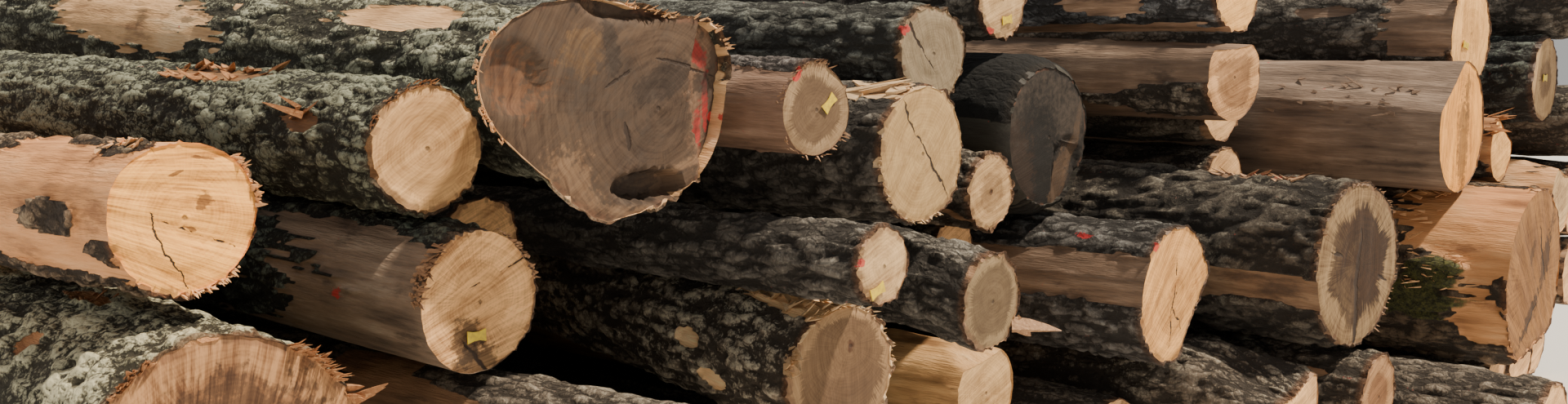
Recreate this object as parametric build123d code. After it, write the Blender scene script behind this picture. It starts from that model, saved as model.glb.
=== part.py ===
from build123d import *
import math
import os

import numpy as np

# Driving values, in millimetres and degrees
log_length = 4000
long_log = 4200
shorter_log = 3600
shortest_log = 3100
hidden_start = 3050
seat_clearance = 0.3
sway = 40
section_count = 7
ring_points = 16
tag_width = 42
tag_height = 24
tag_thickness = 2
tag_waist = 12
tag_clearance = 0.1

# One row a log, in the order the heap is laid, lowest first
# front x, front y, length, run to the side, rise to the back, front diameter, back diameter, wide over high, saw skew
LOGS = {
    "base_log_1": (715, 2300, log_length, -110, 0, 250, 248, 1.02, 0),
    "base_log_2": (1080, 2170, log_length, -80, 0, 250, 248, 0.98, 0),
    "base_log_3": (1430, 2100, log_length, -50, 0, 300, 296, 1.00, 0),
    "base_log_4": (1768, 2010, log_length, -60, 0, 330, 326, 1.00, 0),
    "base_log_5": (2090, 1940, log_length, -70, 0, 294, 290, 1.00, 0),
    "base_log_6": (2380, 1860, log_length, -100, 0, 230, 228, 1.00, 0),
    "base_log_7": (2670, 1780, log_length, -80, 0, 220, 218, 1.00, 0),
    "base_log_8": (2945, 1690, log_length, -90, 0, 324, 320, 1.00, 0),
    "base_log_9": (4370, 1290, log_length, -90, 0, 216, 214, 1.00, 0),
    "base_log_10": (4665, 1300, log_length, -90, 0, 216, 214, 1.00, 0),
    "base_log_11": (4930, 1300, log_length, -70, 0, 280, 278, 1.00, 0),
    "base_log_12": (5270, 1350, log_length, -70, 0, 280, 278, 1.00, 0),
    "log_low_right": (3830, 925, log_length, -110, 0, 336, 332, 1.00, 0),
    "log_wedge_cut": (3250, 1360, log_length, -90, -60, 320, 326, 1.00, 0),
    "log_small_low_right": (3550, 1265, log_length, -100, 10, 256, 250, 1.00, 0),
    "log_bevelled_low": (2635, 1860, log_length, -200, -30, 268, 264, 1.00, 0),
    "log_under_tagged": (1493, 1600, log_length, -320, -140, 260, 258, 1.00, 3),
    "inner_log_1": (2065, hidden_start + 250, 2800, 0, 0, 210, 210, 1.00, 0),
    "inner_log_2": (5237, 1240, shorter_log, -60, 0, 262, 260, 1.00, 0),
    "inner_log_3": (4945, 1420, log_length, -70, 0, 304, 302, 1.00, 0),
    "log_mossy_right": (4520, 1170, log_length, -270, -10, 586, 552, 1.00, 0),
    "log_lichen_front_left": (900, 2125, log_length, -65, -20, 530, 476, 1.00, 0),
    "inner_log_4": (1795, hidden_start, 3000, -30, 0, 360, 360, 1.00, 0),
    "inner_log_5": (3915, 1800, log_length - 200, -110, 0, 302, 302, 1.00, 0),
    "log_bevelled_right": (3065, 1595, log_length, -90, -80, 374, 332, 1.02, 0),
    "log_skewed_centre": (2075, 1830, shortest_log, 420, 130, 330, 382, 1.02, -5),
    "log_star_heart": (3510, 1320, log_length, -160, 0, 460, 466, 1.00, -6),
    "inner_log_6": (2793, 2080, log_length, -20, 10, 188, 186, 1.00, 0),
    "inner_log_7": (5173, 1230, shorter_log, -60, 0, 284, 282, 1.00, 0),
    "log_tagged_left": (1390, 2130, log_length, -280, 20, 302, 314, 0.98, 4),
    "log_facet_right": (4882, 1200, log_length, -140, 0, 268, 268, 1.00, 0),
    "log_half_shaded": (2040, 1690, log_length, -115, -10, 182, 180, 1.00, 0),
    "log_shaded_left": (1665, 2540, shorter_log, -35, 0, 228, 216, 1.00, 0),
    "inner_log_8": (3938, 1900, shorter_log, -50, 0, 286, 286, 1.00, 0),
    "log_pale_oval": (2483, 1740, shorter_log, 50, 350, 244, 228, 1.00, 0),
    "inner_log_9": (1082, 2700, shorter_log, -200, 30, 184, 184, 1.00, 0),
    "log_peeled_left": (902, 2247, shorter_log, -315, -130, 292, 246, 1.00, 3),
    "log_small_centre": (2679, 1887, shorter_log, 100, 0, 208, 204, 1.00, 0),
    "inner_log_10": (1535, hidden_start + 50, 3000, -55, 0, 190, 190, 1.00, 0),
    "log_split_behind": (4664, 1327, shorter_log, -130, 0, 248, 248, 1.00, 0),
    "inner_log_11": (1847, hidden_start + 150, 2900, -55, 20, 210, 210, 1.00, 0),
    "log_split_tall": (2342, 1832, log_length, -210, -90, 336, 326, 1.00, 2),
    "inner_log_12": (3311, 2150, shorter_log, 0, 20, 176, 176, 1.00, 0),
    "inner_log_13": (5205, 1220, shorter_log, -65, 0, 262, 262, 1.00, 0),
    "log_domed_dark": (2986, 1926, log_length, 50, 70, 448, 396, 1.00, 0),
    "log_brown_long": (4334, 1344, log_length, -205, 50, 434, 364, 1.00, 0),
    "log_mossy_left": (1350, 2228, long_log, -375, 60, 274, 296, 1.00, 3),
    "inner_log_14": (3903, 1900, shorter_log, -85, 0, 276, 276, 1.00, 0),
    "log_green_top_right": (4968, 1293, log_length, -270, 0, 304, 304, 1.00, 0),
    "log_flat_topped": (3593, 1717, log_length, -105, -30, 284, 282, 1.00, -8),
    "log_tagged_centre": (2066, 1898, log_length, -85, 120, 226, 248, 1.02, -3),
    "log_root_flare": (1715, 1990, long_log, -60, 280, 384, 350, 1.00, 0),
    "log_split_upper": (2525, 1949, log_length, -345, 100, 254, 254, 1.02, -4),
    "log_brown_upper": (4598, 1416, log_length, -295, 100, 350, 348, 1.00, -3),
    "log_tagged_top": (2925, 2034, log_length, 10, -20, 230, 230, 1.00, 0),
    "log_top_right": (5086, 1130, log_length, -285, 0, 250, 250, 1.00, 0),
    "log_red_marked_top": (3706, 1770, log_length, -45, 0, 298, 368, 1.00, 0),
}


# Cuts at the front ends: clock angle from +X, depth at the face, reach along the log
BEVELS = {
    "log_bevelled_low": (100, 38, 90),
    "log_bevelled_right": (-38, 60, 130),
    "log_wedge_cut": (104, 110, 260),
    "log_mossy_right": (-80, 60, 150),
    "log_flat_topped": (95, 48, 1200),
    "log_brown_long": (128, 45, 600),
    "log_facet_right": (75, 45, 160),
    "log_split_behind": (60, 50, 220),
    "log_domed_dark": (-8, 45, 200),
}

# Root flare of the fluted butt: lobe clock angle, swell at the face, half width of the lobe
FLARE = ((172, 205, 26), (140, 100, 30), (40, 50, 25), (-132, 80, 30), (-160, 30, 18))
flare_length = 135

# Rounded butt: place behind the face and share of the full radius there
DOME = ((0, 0.84), (22, 0.93), (70, 0.985))

# Number plates on the sawn ends: how far right and up of the middle, and their turn
TAGS = {
    "log_tagged_left": (-12, -62, 0),
    "log_tagged_centre": (34, 14, 45),
    "log_tagged_top": (14, -52, 8),
    "log_brown_upper": (-50, -34, -12),
    "log_half_shaded": (-24, -46, 20),
    "log_green_top_right": (-20, 6, 0),
}


# One log of the heap, as straight runs between its sections
class Log:
    def __init__(self, name, index):
        self.name = name
        x, y, length, run, rise, front, back, wide, skew = LOGS[name]
        self.x = x
        self.y = y
        self.length = length
        self.run = run
        self.slope = rise
        self.height = 0.0
        self.front = front / 2
        self.back = back / 2
        self.stretch = math.sqrt(wide)
        self.skew = math.tan(math.radians(skew))
        self.phase = 2.4 * index
        self.stations = list(np.linspace(0, 1, section_count))
        if name == "log_domed_dark":
            self.stations += [place / length for place, _ in DOME[1:]]
        if name == "log_root_flare":
            self.stations += [flare_length * share / length for share in (0.25, 0.6, 1.1, 2)]
        self.stations.sort()

    # Radius at a fraction of the length and an angle from +X, from smooth low waves
    def radius(self, part, turn):
        mean = self.front + (self.back - self.front) * part
        mean = mean * (0.978 + 0.006 * np.sin(4.5 * part + self.phase))
        twist = 0.4 * part
        wave = 0.010 * np.cos(3 * (turn - twist) + self.phase)
        wave = wave + 0.006 * np.cos(4 * (turn - twist) + 2 * self.phase)
        radius = mean * (1 + wave)
        behind = part * self.length
        if self.name == "log_domed_dark":
            radius = radius * np.interp(behind, *zip(*DOME, (160, 1)))
        if self.name == "log_root_flare":
            fade = math.exp(-((behind / flare_length) ** 1.4))
            for clock, swell, width in FLARE:
                apart = np.degrees(np.angle(np.exp(1j * (turn - math.radians(clock)))))
                radius = radius + swell * fade * np.exp(-((apart / width) ** 2))
        return radius

    def centre_x(self, part):
        return self.x + self.run * part

    def centre_z(self, part):
        return self.height + self.slope * (part - 0.5)

    # Outline points of a section, with their height over the centre line
    def ring(self, part, turn):
        radius = self.radius(part, turn)
        across = radius * np.cos(turn) * self.stretch
        tilt = self.skew if part == 0 else 0
        x = self.centre_x(part) + across
        y = self.y + self.length * part + across * tilt
        z = radius * np.sin(turn) / self.stretch
        return x, y, z

    def solid(self):
        count = ring_points * (2 if self.name == "log_root_flare" else 1)
        turn = np.arange(count) * 2 * math.pi / count
        sections = []
        for part in self.stations:
            x, y, z = self.ring(part, turn)
            points = [Vector(*point) for point in zip(x, y, z + self.centre_z(part))]
            sections.append(Wire([Edge.make_spline(points, periodic=True)]))
        solid = Solid.make_loft(sections, ruled=True)
        if self.name in BEVELS:
            solid = self.bevelled(solid, *BEVELS[self.name])
        return solid

    # The log less what lies outside a slanting cut at its front
    def bevelled(self, solid, clock, depth, reach):
        angle = math.radians(clock)
        out = Vector(math.cos(angle), 0, math.sin(angle))
        middle = Vector(self.centre_x(0), self.y, self.centre_z(0))
        low = middle + out * (self.front - depth)
        high = middle + out * self.front + Vector(0, reach, 0)
        side = Vector(math.sin(angle), 0, -math.cos(angle))
        plane = Plane(origin=low, x_dir=side, z_dir=side.cross(high - low))
        size = 4 * self.front + 2 * reach
        if plane.z_dir.dot(out) < 0:
            plane = Plane(origin=low, x_dir=side, z_dir=-plane.z_dir)
        waste = plane * Box(size, size, size, align=(Align.CENTER, Align.CENTER, Align.MIN))
        return (solid - waste).solids().sort_by(lambda part: part.volume)[-1]


# Heights: each log comes down on the ones laid before it
column_step = 4
row_step = 5
columns = np.arange(0, 6400, column_step)
rows = np.arange(600, 7200, row_step)
around = np.linspace(0, 2 * math.pi, 241)


# Upper and lower skin of the log, over its centre line, on the grid of rows and columns
def skins(log):
    upper = np.full((len(rows), len(columns)), -1e6)
    lower = np.full((len(rows), len(columns)), 1e6)
    rings = [log.ring(part, around[:-1]) for part in log.stations]
    for row, y in enumerate(rows):
        if y <= rings[0][1].min() - row_step or y >= log.y + log.length + row_step:
            continue
        part = min(max((y - log.y) / log.length, 0), 1)
        after = max(np.searchsorted(log.stations, part), 1)
        near, far = rings[after - 1], rings[after]
        share = np.clip((y - near[1]) / (far[1] - near[1]), 0, 1)
        x = near[0] + (far[0] - near[0]) * share
        z = near[2] + (far[2] - near[2]) * share
        start = np.argmin(x)
        x = np.roll(x, -start)
        z = np.roll(z, -start)
        right = np.argmax(x)
        face = log.y + (columns - log.x) * log.skew
        inside = (columns > x[0]) & (columns < x[right]) & (y > face - row_step)
        lower[row, inside] = np.interp(columns[inside], x[:right + 1], z[:right + 1])
        upper[row, inside] = np.interp(columns[inside], x[right:][::-1], z[right:][::-1])
    return upper, lower


def settle(logs):
    ground = np.zeros((len(rows), len(columns)))
    for log in logs:
        upper, lower = skins(log)
        parts = (rows - log.y) / log.length
        held = lower.min(axis=1) < 1e5
        need = (ground - lower)[held].max(axis=1) + seat_clearance
        slopes = log.slope + sway * np.linspace(-1, 1, 41)
        heights = (need - slopes[:, None] * (parts[held] - 0.5)).max(axis=1)
        lowest = np.argmin(heights)
        log.height = heights[lowest]
        log.slope = slopes[lowest]
        over = upper + (log.height + log.slope * (parts - 0.5))[:, None]
        ground = np.maximum(ground, over)


# Bow-tie plate that lies on the log's sawn front
def tag(log, right, up, turn):
    half = tag_width / 2
    tall = tag_height / 2
    neck = tag_waist / 2
    outline = Polyline(
        (-half, -tall), (-neck, -tall * 0.7), (neck, -tall * 0.7), (half, -tall),
        (half, tall), (neck, tall * 0.7), (-neck, tall * 0.7), (-half, tall), close=True,
    )
    front = log.y + right * log.skew - tag_clearance
    origin = Vector(log.centre_x(0) + right, front, log.centre_z(0) + up)
    across = Vector(1, log.skew, 0).normalized()
    across = across * math.cos(math.radians(turn)) + Vector(0, 0, math.sin(math.radians(turn)))
    plane = Plane(origin=origin, x_dir=across, z_dir=Vector(log.skew, -1, 0))
    return extrude(plane * make_face(outline), tag_thickness)


logs = [Log(name, index) for index, name in enumerate(LOGS)]
settle(logs)
solids = {log.name: log.solid() for log in logs}

# The frame: middle of the footprint, ground at zero
box = Compound(list(solids.values())).bounding_box()
by_name = {log.name: log for log in logs}
plates = [tag(by_name[name], *place).solid() for name, place in TAGS.items()]
solids["number_tags"] = Compound(plates)
shift = Vector(-(box.min.X + box.max.X) / 2, -(box.min.Y + box.max.Y) / 2, 0)
os.makedirs("parts", exist_ok=True)
for name, solid in solids.items():
    export_step(solid.moved(Location(shift)), f"parts/{name}.step")
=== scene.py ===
import bpy
import math
import numpy as np
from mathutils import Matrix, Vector
from mathutils.bvhtree import BVHTree


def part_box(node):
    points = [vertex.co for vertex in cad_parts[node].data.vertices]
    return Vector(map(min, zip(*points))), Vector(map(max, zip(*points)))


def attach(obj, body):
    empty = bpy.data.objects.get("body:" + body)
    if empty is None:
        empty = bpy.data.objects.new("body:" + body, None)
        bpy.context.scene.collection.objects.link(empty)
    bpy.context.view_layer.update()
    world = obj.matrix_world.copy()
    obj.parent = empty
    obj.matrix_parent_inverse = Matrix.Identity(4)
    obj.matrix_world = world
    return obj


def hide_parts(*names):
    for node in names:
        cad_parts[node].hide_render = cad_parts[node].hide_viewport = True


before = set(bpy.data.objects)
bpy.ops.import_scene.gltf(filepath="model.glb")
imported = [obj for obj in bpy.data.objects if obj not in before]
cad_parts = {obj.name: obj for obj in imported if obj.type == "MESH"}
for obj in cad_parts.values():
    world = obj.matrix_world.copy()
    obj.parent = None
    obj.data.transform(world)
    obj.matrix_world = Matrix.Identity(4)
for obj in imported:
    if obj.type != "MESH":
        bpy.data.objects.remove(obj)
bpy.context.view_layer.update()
print("frame loaded")


def linkObject(name, data):
    thing = bpy.data.objects.new(name, data)
    bpy.context.scene.collection.objects.link(thing)
    return thing


# Camera
view = {
    "focal": 30.94,  # mm
    "sensor": 36.0,  # mm
    "heading": 46.0,  # degrees from +Y towards +X
    "pitch": 6.83,  # degrees downwards
    "place": (-2.9360, -3.6765, 1.20),
    "clip": (0.05, 200.0),
}


def makeCamera(values):
    data = bpy.data.cameras.new("camera")
    data.lens, data.sensor_width = values["focal"], values["sensor"]
    data.clip_start, data.clip_end = values["clip"]
    camera = linkObject("camera", data)
    heading, pitch = math.radians(values["heading"]), math.radians(values["pitch"])
    level = math.cos(pitch)
    forward = Vector((math.sin(heading) * level, math.cos(heading) * level, -math.sin(pitch)))
    camera.location = values["place"]
    camera.rotation_mode = "QUATERNION"
    camera.rotation_quaternion = forward.to_track_quat("-Z", "Y")
    bpy.context.scene.camera = camera


makeCamera(view)
print("camera placed")


def opaque(colour):  # a triple gets its alpha, a socket stays
    return colour if isinstance(colour, Socket) else (*colour, 1.0)


def plugIn(node, values):  # links or sets a node's inputs
    for key, value in values.items():
        if isinstance(value, Socket):
            node.id_data.links.new(value.plug, node.inputs[key])
        else:
            node.inputs[key].default_value = value


def operator(operation):  # a Math node for a Python operator and for its reflected form
    return (lambda self, other: self.math(operation, self, other),
            lambda self, other: self.math(operation, other, self))


# A shader socket that can be added, multiplied and mixed
class Socket:
    def __init__(self, nodes, plug):
        self.nodes, self.plug = nodes, plug

    def make(self, kind, settings=None, inputs=None, output=0):  # any node, its settings first
        node = self.nodes.new("ShaderNode" + kind)
        for key, value in (settings or {}).items():
            setattr(node, key, value)
        plugIn(node, inputs or {})
        return Socket(self.nodes, node.outputs[output])

    def math(self, operation, *values):
        return self.make("Math", {"operation": operation}, dict(enumerate(values)))

    __add__, __radd__ = operator("ADD")
    __sub__, __rsub__ = operator("SUBTRACT")
    __mul__, __rmul__ = operator("MULTIPLY")
    __truediv__, __rtruediv__ = operator("DIVIDE")
    __pow__ = operator("POWER")[0]

    def hypot(self, other):  # root of the sum of both squares
        return (self * self + other * other) ** 0.5

    def step(self, low, high):  # 0 below low, 1 above high, smooth between
        inputs = {0: self, 1: low, 2: high, 3: 0.0, 4: 1.0}
        return self.make("MapRange", {"interpolation_type": "SMOOTHSTEP"}, inputs)

    def blend(self, first, second):  # colour mix, self is the share of second
        return self.make("Mix", {"data_type": "RGBA"}, {0: self, 6: opaque(first), 7: opaque(second)}, 2)

    def between(self, low, high):  # number mix
        return self.make("Mix", {"data_type": "FLOAT"}, {0: self, 2: low, 3: high}, 0)

    def tinted(self, colour):  # colour times a fixed colour
        settings = {"data_type": "RGBA", "blend_type": "MULTIPLY"}
        return self.make("Mix", settings, {0: 1.0, 6: self, 7: opaque(colour)}, 2)

    def stretch(self, x, y, z):  # vector times a fixed vector
        return self.make("VectorMath", {"operation": "MULTIPLY"}, {0: self, 1: (x, y, z)})

    def shifted(self, other):  # sum of two vectors
        return self.make("VectorMath", {"operation": "ADD"}, {0: self, 1: other})

    def vector(self, x, y, z):
        return self.make("CombineXYZ", None, {0: x, 1: y, 2: z})

    def noise(self, values, number=0, output="Fac"):  # values are scale, detail, roughness and seed
        inputs = dict(zip(("Scale", "Detail", "Roughness"), values), Vector=self, W=values[3] + number)
        return self.make("TexNoise", {"noise_dimensions": "4D"}, inputs, output)

    def cells(self, scale):  # distance to the edge of an irregular cell
        return self.make("TexVoronoi", {"feature": "DISTANCE_TO_EDGE"}, {"Vector": self, "Scale": scale})

    def field(self, name, output):  # a field of the mesh's points
        return self.make("Attribute", {"attribute_name": name}, None, output)

    def sibling(self, output):  # another output of the same node
        return Socket(self.nodes, self.plug.node.outputs[output])

    def parts(self):  # x, y and z of a vector
        split = self.make("SeparateXYZ", None, {0: self})
        return [split.sibling(k) for k in range(3)]


def startMaterial(name, colour):
    material = bpy.data.materials.new(name)
    material.use_nodes = True
    material.diffuse_color = opaque(colour)
    nodes = material.node_tree.nodes
    shader = nodes["Principled BSDF"]
    return material, Socket(nodes, shader.outputs[0]), shader


# Three times the square less twice the cube
def ease(share):
    return share * share * (3 - 2 * share)


# 0 below low, 1 above high, eased between
def smooth(value, low, high):
    return ease(np.clip((value - low) / (high - low), 0, 1))


# Four corner values blended by the way across the cell, u along the rows and v along the columns
def fourWay(grid, i, j, k, u, v):
    low = grid[i, j] * (1 - v) + grid[i, k] * v
    high = grid[i + 1, j] * (1 - v) + grid[i + 1, k] * v
    return low * (1 - u) + high * u


# Smooth random field from 0 to 1, closed round the log: random values on a grid with perTurn columns round
# it and rows one cell apart, and between them the eased four-way blend
def cloud(seed, turn, along, perTurn, cell):
    rng = np.random.default_rng(seed)
    column = (turn / (2 * math.pi) % 1.0) * perTurn
    row = np.maximum(along, 0) / cell + rng.random() * 3
    grid = rng.random((int(row.max()) + 3, perTurn))
    i, j = row.astype(int), column.astype(int)
    return fourWay(grid, i, j % perTurn, (j + 1) % perTurn, ease(row - i), ease(column - j))


# Sum of clouds, each twice as fine and half as strong, divided by the sum of their strengths
def clouds(seed, turn, along, perTurn, cell, octaves=3):
    finer = [(k, 2 ** k) for k in range(octaves)]
    total = sum(cloud(seed + k, turn, along, perTurn * times, cell / times) / times for k, times in finer)
    return total / (2 - 2 ** (1 - octaves))


# Middle line, tilt of the saw cut and radii of a packed log, found with rays. The middle at a place is front
# plus slope times the metres behind the cut.
class Stem:
    rays = 96  # round the log
    stations = (0.002, 0.012, 0.03, 0.055, 0.085, 0.12, 0.16, 0.21, 0.27, 0.35, 0.45, 0.6, 0.8, 1.05, 1.3)
    tail = (1.5, 6)  # first of the even stations at the back, and their number
    endZone = 0.06  # metres at both ends whose points give the first guess
    centred = (0.42, 0.99)  # shares of the length where the guess is centred between the walls
    rounds = 3  # of centring
    cutRays = (0.5, 0.4)  # metres behind the cut and share of the radius, where rays to the cut start
    tiltReach = 0.3  # metres over which the rings lose the tilt of the cut
    inset = 0.002  # metres between the last station and the back
    unmet = 0.05  # radius where a ray meets nothing

    def __init__(self, name):
        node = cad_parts[name]
        self.tree = BVHTree.FromObject(node, bpy.context.evaluated_depsgraph_get())
        low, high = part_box(name)
        points = np.empty(len(node.data.vertices) * 3)
        node.data.vertices.foreach_get("co", points)
        points = points.reshape(-1, 3)
        ends = [points[points[:, 1] < low.y + self.endZone], points[points[:, 1] > high.y - self.endZone]]
        near, far = [(end.min(0) + end.max(0)) / 2 for end in ends]
        near[1], far[1] = low.y, high.y
        first, last = [self.centre(near + (far - near) * share) for share in self.centred]
        self.slope = (last - first) / (last[1] - first[1])
        self.front = first - self.slope * (first[1] - low.y)
        behind, share = self.cutRays
        inside = self.front + self.slope * behind
        wide = share * self.reach(inside, np.array([1.0, 0, 0]))
        cuts = [self.cut(inside + np.array([side * wide, 0, 0])) for side in (-1, 0, 1)]
        self.tilt = (cuts[2] - cuts[0]) / (2 * wide)
        self.front = inside + self.slope * (cuts[1] - inside[1]) / (1 - self.tilt * self.slope[0])
        self.length = high.y - self.front[1]
        start, number = self.tail
        self.places = np.array([*self.stations, *np.linspace(start, self.length - self.inset, number)])
        turns = np.arange(self.rays) * 2 * math.pi / self.rays
        self.radii = np.array([[self.ray(place, turn) for turn in turns] for place in self.places])

    def centre(self, place):  # half way between the walls, across and upwards
        for _ in range(self.rounds):
            for axis in (0, 2):
                way = np.eye(3)[axis]
                place = place + way * (self.reach(place, way) - self.reach(place, -way)) / 2
        return place

    def reach(self, place, way):
        hit = self.tree.ray_cast(Vector(place), Vector(way))
        return hit[3] if hit[0] is not None else self.unmet

    def cut(self, place):
        hit = self.tree.ray_cast(Vector(place), Vector((0, -1, 0)))
        return hit[0].y if hit[0] is not None else self.front[1]

    def lean(self, along):  # tilt of the ring at a place
        return self.tilt * np.clip(1 - along / self.tiltReach, 0, 1)

    def ray(self, place, turn):
        way = np.array([math.cos(turn), self.lean(place) * math.cos(turn), math.sin(turn)])
        long = np.linalg.norm(way)
        return self.reach(self.front + self.slope * place, way / long) / long

    def radius(self, turn, along):  # four-way blend of the measured radii, whole arrays
        column = (turn / (2 * math.pi) % 1.0) * self.rays
        j = column.astype(int)
        row = np.interp(along, self.places, np.arange(len(self.places)))
        i = np.minimum(row.astype(int), len(self.places) - 2)
        return fourWay(self.radii, i, j % self.rays, (j + 1) % self.rays, row - i, column - j)


# Looks of the logs: a log has the plain look but for what it names. A patch is clock degrees (0 to the
# right, 90 on top), metres behind the face, half width in degrees and half length in metres.
plainLook = {
    "grid": (84, 0.011, 1.038, 10),  # points round, metres between rings, growth to the back, rings of an end
    "widest": 0.15,  # metres between rings at the back
    "bark": "grey",
    "barkDepth": 0.014,  # metres, from ridge to bare wood
    "plates": 1.0,  # size of the bark's plates
    "granules": 0.055,  # length of the bark's small lumps, metres
    "scales": 48,  # flakes of bark per metre
    "rough": 0.016,  # height of the fine relief, metres
    "lichen": 0.35,  # how much of the bark it covers
    "bare": 0.12,  # share of the side that has lost its bark
    "wood": "brown",
    "sideTint": (1.0, 1.0, 1.0),
    "bald": (),  # patches with no bark
    "barked": (),  # patches that kept it
    "moss": (),
    "paint": (),
    "face": "tan",
    "faceTint": (1.0, 1.0, 1.0),
    "heart": 0.45,  # share of the radius
    "heartDark": 0.5,
    "mottled": 1.0,  # how uneven the heart's colour is
    "starred": 0.0,  # how far the heart's points reach, as a share of the radius
    "radial": 0.3,  # strength of streaks that run out from the pith
    "arcs": 0.7,  # strength of the growth rings
    "pith": (0.0, 0.0),  # metres from the middle of the face
    "fan": (-0.8, -0.3),  # where the saw marks would meet, metres from the middle of the face
    "sawMarks": 1.0,  # strength
    "soil": 0.2,  # strength
    "cracks": (),  # x, z to x, z in metres from the middle of the face, width
    "blots": (),  # x, z, half width, half height, turn in degrees, kind
    "hollows": (),  # x, z, half width, half height, depth
    "splinters": (),  # clock, metres behind, spread in degrees and metres, count, length, width, outwards
}

hiddenLook = {"grid": (40, 0.05, 1.15, 5), "widest": 0.20, "bare": 0.2}

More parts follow.
